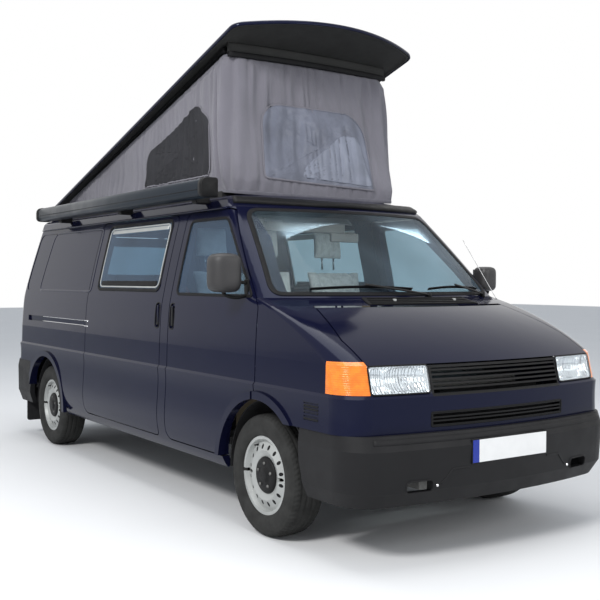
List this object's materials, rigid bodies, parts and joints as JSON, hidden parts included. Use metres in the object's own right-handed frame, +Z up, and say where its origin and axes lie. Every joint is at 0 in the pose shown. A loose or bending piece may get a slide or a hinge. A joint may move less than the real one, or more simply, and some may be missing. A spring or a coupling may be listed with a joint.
{
  "type": "camper van",
  "caption": "Long panel van turned camper: raised rear-hinged lifting roof with grey tent, roll-out awning case, dark blue paint, steel wheels.",
  "frame": {"origin": "on the ground under the middle of the overall length and width", "axes": "+X forwards along the vehicle, +Y to its left, +Z up"},
  "size_m": [5.1013, 2.2316, 2.8572],
  "materials": {
    "navy_paint": "gloss",
    "grey_plastic": "satin",
    "black_plastic": "satin",
    "clear_glass": "gloss",
    "lamp_glass": "gloss",
    "orange_lens": "gloss",
    "red_lens": "gloss",
    "tent_cloth": "matte",
    "awning_grey": "satin",
    "tyre_rubber": "matte",
    "rim_silver": "satin",
    "chassis_black": "satin",
    "bare_steel": "satin",
    "cast_metal": "matte",
    "seat_fabric": "matte",
    "furniture_board": "satin",
    "dash_plastic": "satin",
    "shell_liner": "gloss"
  },
  "bodies": {
    "van": {"side_wall_left": "navy_paint", "side_wall_right": "navy_paint", "sliding_door": "navy_paint", "side_windows": "clear_glass", "tail_lamps": "red_lens", "hinge_lugs": "chassis_black", "front_wings": "navy_paint", "headlamps": "lamp_glass", "indicators": "orange_lens", "front_panel": "navy_paint", "grille": "black_plastic", "screen_frame": "navy_paint", "windscreen": "clear_glass", "floor_pan": "chassis_black", "wheel_liners": "black_plastic", "inner_frame": "chassis_black", "front_bumper": "grey_plastic", "rear_bumper": "grey_plastic", "roof_panel": "navy_paint", "tent_canvas": "tent_cloth", "tent_sill": "black_plastic", "awning_case": "awning_grey", "awning_fittings": "black_plastic", "front_subframe": "chassis_black", "rear_axle": "chassis_black", "engine": "cast_metal", "radiator": "chassis_black", "tank_and_silencer": "chassis_black", "cab_seats": "seat_fabric", "rear_bench": "seat_fabric", "furniture": "furniture_board", "dashboard": "dash_plastic", "wipers_and_aerial": "black_plastic"},
    "front_left_door": {"front_door_left": "navy_paint", "front_door_glass_left": "clear_glass", "mirror_left": "grey_plastic"},
    "front_right_door": {"front_door_right": "navy_paint", "front_door_glass_right": "clear_glass", "mirror_right": "grey_plastic"},
    "tailgate": {"tailgate": "navy_paint", "tailgate_glass": "clear_glass"},
    "bonnet": {"bonnet": "navy_paint"},
    "lifting_roof": {"pop_top_shell": "shell_liner", "pop_top_frame": "black_plastic"},
    "left_knuckle": {"knuckle_left": "bare_steel"},
    "right_knuckle": {"knuckle_right": "bare_steel"},
    "front_left_wheel": {"rim_front_left": "rim_silver", "tyre_front_left": "tyre_rubber"},
    "front_right_wheel": {"rim_front_right": "rim_silver", "tyre_front_right": "tyre_rubber"},
    "rear_left_wheel": {"rim_rear_left": "rim_silver", "tyre_rear_left": "tyre_rubber"},
    "rear_right_wheel": {"rim_rear_right": "rim_silver", "tyre_rear_right": "tyre_rubber"},
    "steering_wheel": {"steering_wheel": "black_plastic"}
  },
  "joints": [
    {"name": "front_left_door", "type": "hinge", "parent": "van", "child": "front_left_door", "pos_m": [1.4655, 0.891, 0.818], "axis": [0, 0.0568, -0.9984], "range_deg": [0, 65]},
    {"name": "front_right_door", "type": "hinge", "parent": "van", "child": "front_right_door", "pos_m": [1.4655, -0.891, 0.818], "axis": [0, 0.0568, 0.9984], "range_deg": [0, 65]},
    {"name": "tailgate", "type": "hinge", "parent": "van", "child": "tailgate", "pos_m": [-2.3705, 0, 1.757], "axis": [0, 1, 0], "range_deg": [0, 82]},
    {"name": "bonnet", "type": "hinge", "parent": "van", "child": "bonnet", "pos_m": [1.8555, 0, 1.206], "axis": [0, -1, 0], "range_deg": [0, 50]},
    {"name": "lifting_roof", "type": "hinge", "parent": "van", "child": "lifting_roof", "pos_m": [-2.2935, 0, 1.9], "axis": [0, -1, 0], "range_deg": [-15.3, 0], "deforming": ["tent_canvas"]},
    {"name": "steer_left", "type": "hinge", "parent": "van", "child": "left_knuckle", "pos_m": [1.6235, 0.7005, 0.324], "axis": [0, 0, 1], "range_deg": [-35, 35]},
    {"name": "steer_right", "type": "hinge", "parent": "van", "child": "right_knuckle", "pos_m": [1.6235, -0.7005, 0.324], "axis": [0, 0, 1], "range_deg": [-35, 35]},
    {"name": "steering_wheel", "type": "hinge", "parent": "van", "child": "steering_wheel", "pos_m": [1.0935, 0.44, 1.09], "axis": [-0.8829, 0, 0.4695], "range_deg": [-525, 525]},
    {"name": "front_left_wheel", "type": "hinge", "parent": "left_knuckle", "child": "front_left_wheel", "pos_m": [1.6235, 0.7945, 0.324], "axis": [0, 1, 0], "continuous": true},
    {"name": "front_right_wheel", "type": "hinge", "parent": "right_knuckle", "child": "front_right_wheel", "pos_m": [1.6235, -0.7945, 0.324], "axis": [0, 1, 0], "continuous": true},
    {"name": "rear_left_wheel", "type": "hinge", "parent": "van", "child": "rear_left_wheel", "pos_m": [-1.6965, 0.777, 0.324], "axis": [0, 1, 0], "continuous": true},
    {"name": "rear_right_wheel", "type": "hinge", "parent": "van", "child": "rear_right_wheel", "pos_m": [-1.6965, -0.777, 0.324], "axis": [0, 1, 0], "continuous": true}
  ],
  "couplings": [
    {"joint": "steer_right", "follows": "steer_left", "ratio": 1},
    {"joint": "steering_wheel", "follows": "steer_left", "ratio": 15}
  ]
}
